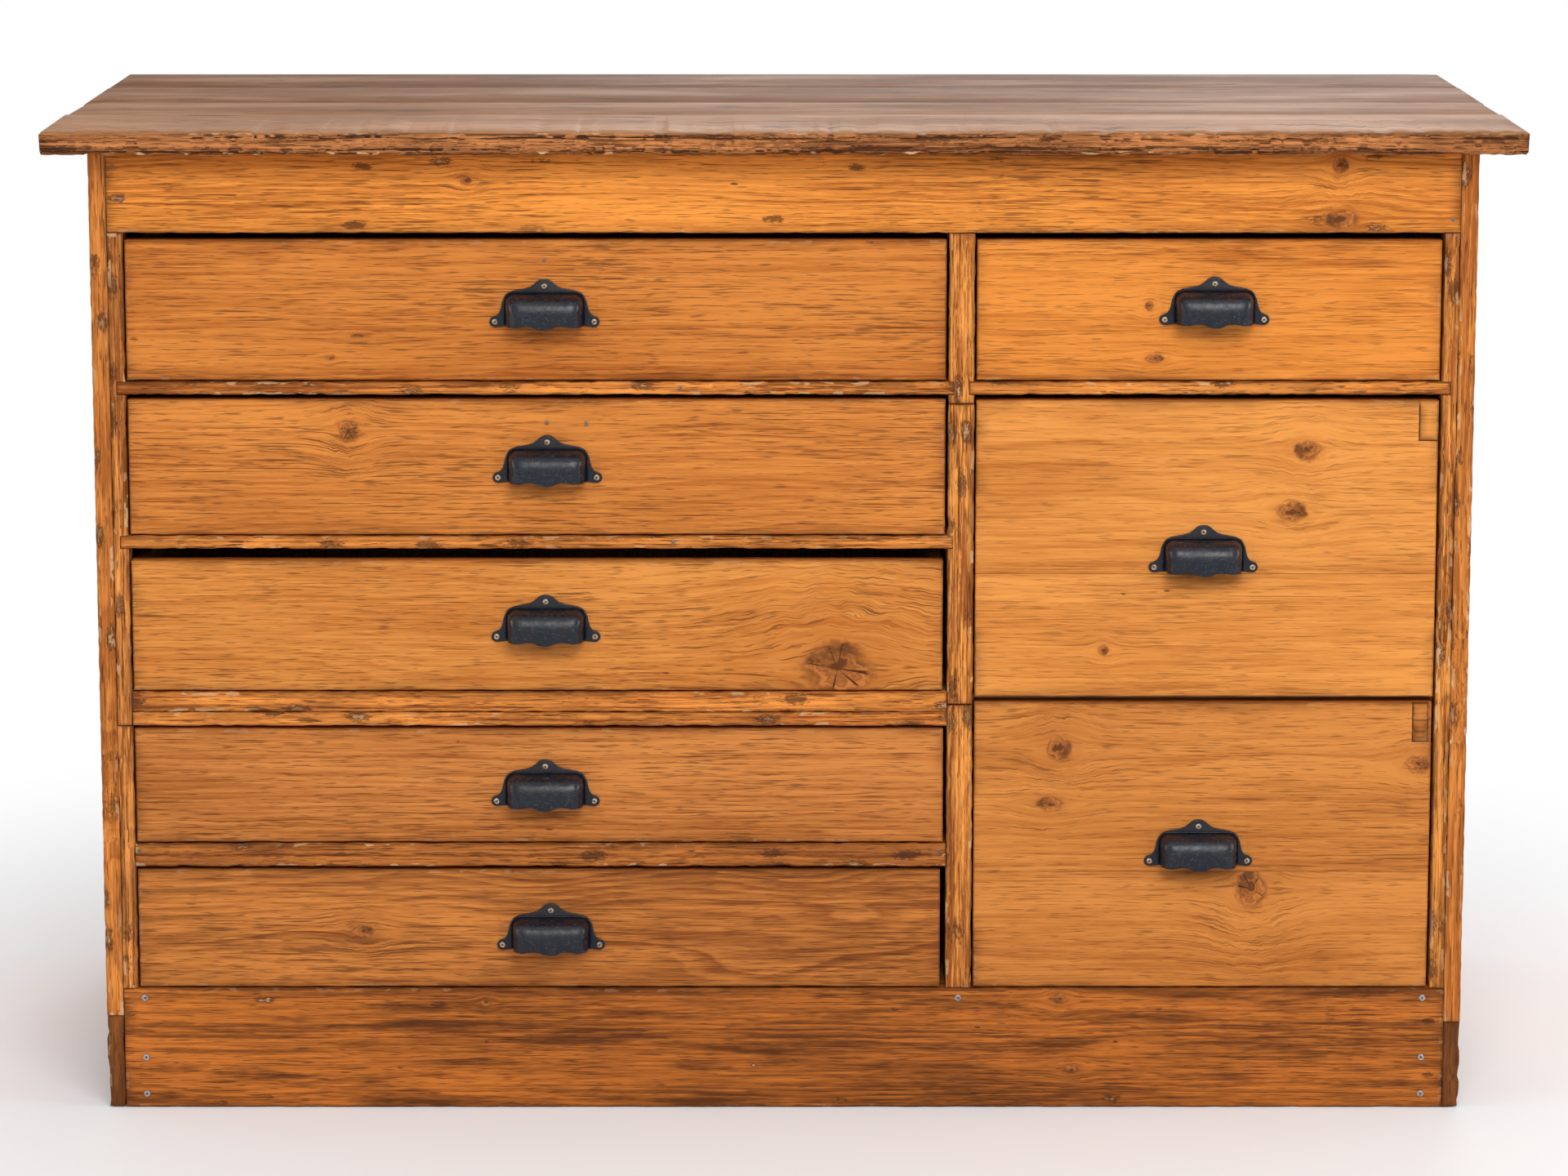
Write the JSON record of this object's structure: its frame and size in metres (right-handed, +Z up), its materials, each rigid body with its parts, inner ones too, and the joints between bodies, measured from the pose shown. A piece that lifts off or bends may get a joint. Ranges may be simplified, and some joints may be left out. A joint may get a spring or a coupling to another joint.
{
  "type": "seed storage cabinet",
  "caption": "Floor-standing pine counter cabinet with a column of shallow drawers beside deeper ones, cup pulls, a plinth and an overhanging plank top.",
  "frame": {"origin": "on the floor, under the middle of the top: the centre of the bounding box's base", "axes": "+X along the front to the right as one faces it, +Y from the front to the back, +Z up. The drawers open along -Y."},
  "size_m": [1.336, 0.61, 0.915],
  "materials": {
    "worn_top_pine": "worn, waxed",
    "carcass_pine": "worn varnish",
    "front_pine": "worn varnish",
    "foot_pine": "dark, scuffed",
    "raw_pine": "bare, planed",
    "pull_iron": "japanned, satin",
    "screw_steel": "aged",
    "nail_iron": "rusted dark"
  },
  "bodies": {
    "carcass": {"top_boards": "worn_top_pine", "side_panel_left": "carcass_pine", "side_panel_right": "carcass_pine", "foot_blocks": "foot_pine", "side_stiles": "carcass_pine", "centre_stile": "carcass_pine", "centre_partition": "raw_pine", "top_rail": "carcass_pine", "plinth_board": "foot_pine", "drawer_runners": "raw_pine", "back_boards": "raw_pine", "bottom_boards": "raw_pine", "plinth_nails": "nail_iron", "rail_left_1": "carcass_pine", "rail_left_2": "carcass_pine", "rail_left_3_upper": "carcass_pine", "rail_left_3_lower": "carcass_pine", "rail_left_4": "carcass_pine", "rail_right_1": "carcass_pine", "rail_right_2": "raw_pine"},
    "drawer_left_1": {"drawer_left_1_front": "front_pine", "drawer_left_1_box": "raw_pine", "drawer_left_1_bottom": "raw_pine", "drawer_left_1_pull": "pull_iron", "drawer_left_1_screws": "screw_steel"},
    "drawer_left_2": {"drawer_left_2_front": "front_pine", "drawer_left_2_box": "raw_pine", "drawer_left_2_bottom": "raw_pine", "drawer_left_2_pull": "pull_iron", "drawer_left_2_screws": "screw_steel"},
    "drawer_left_3": {"drawer_left_3_front": "front_pine", "drawer_left_3_box": "raw_pine", "drawer_left_3_bottom": "raw_pine", "drawer_left_3_pull": "pull_iron", "drawer_left_3_screws": "screw_steel"},
    "drawer_left_4": {"drawer_left_4_front": "front_pine", "drawer_left_4_box": "raw_pine", "drawer_left_4_bottom": "raw_pine", "drawer_left_4_pull": "pull_iron", "drawer_left_4_screws": "screw_steel"},
    "drawer_left_5": {"drawer_left_5_front": "front_pine", "drawer_left_5_box": "raw_pine", "drawer_left_5_bottom": "raw_pine", "drawer_left_5_pull": "pull_iron", "drawer_left_5_screws": "screw_steel"},
    "drawer_right_1": {"drawer_right_1_front": "front_pine", "drawer_right_1_box": "raw_pine", "drawer_right_1_bottom": "raw_pine", "drawer_right_1_pull": "pull_iron", "drawer_right_1_screws": "screw_steel"},
    "drawer_right_2": {"drawer_right_2_front": "front_pine", "drawer_right_2_box": "raw_pine", "drawer_right_2_bottom": "raw_pine", "drawer_right_2_pull": "pull_iron", "drawer_right_2_screws": "screw_steel"},
    "drawer_right_3": {"drawer_right_3_front": "front_pine", "drawer_right_3_box": "raw_pine", "drawer_right_3_bottom": "raw_pine", "drawer_right_3_pull": "pull_iron", "drawer_right_3_screws": "screw_steel"}
  },
  "joints": [
    {"name": "drawer_left_1_slide", "type": "slide", "parent": "carcass", "child": "drawer_left_1", "axis": [0, -1, 0], "range_m": [0, 0.4]},
    {"name": "drawer_left_2_slide", "type": "slide", "parent": "carcass", "child": "drawer_left_2", "axis": [0, -1, 0], "range_m": [0, 0.4]},
    {"name": "drawer_left_3_slide", "type": "slide", "parent": "carcass", "child": "drawer_left_3", "axis": [0, -1, 0], "range_m": [0, 0.4]},
    {"name": "drawer_left_4_slide", "type": "slide", "parent": "carcass", "child": "drawer_left_4", "axis": [0, -1, 0], "range_m": [0, 0.4]},
    {"name": "drawer_left_5_slide", "type": "slide", "parent": "carcass", "child": "drawer_left_5", "axis": [0, -1, 0], "range_m": [0, 0.4]},
    {"name": "drawer_right_1_slide", "type": "slide", "parent": "carcass", "child": "drawer_right_1", "axis": [0, -1, 0], "range_m": [0, 0.4]},
    {"name": "drawer_right_2_slide", "type": "slide", "parent": "carcass", "child": "drawer_right_2", "axis": [0, -1, 0], "range_m": [0, 0.4]},
    {"name": "drawer_right_3_slide", "type": "slide", "parent": "carcass", "child": "drawer_right_3", "axis": [0, -1, 0], "range_m": [0, 0.4]}
  ]
}
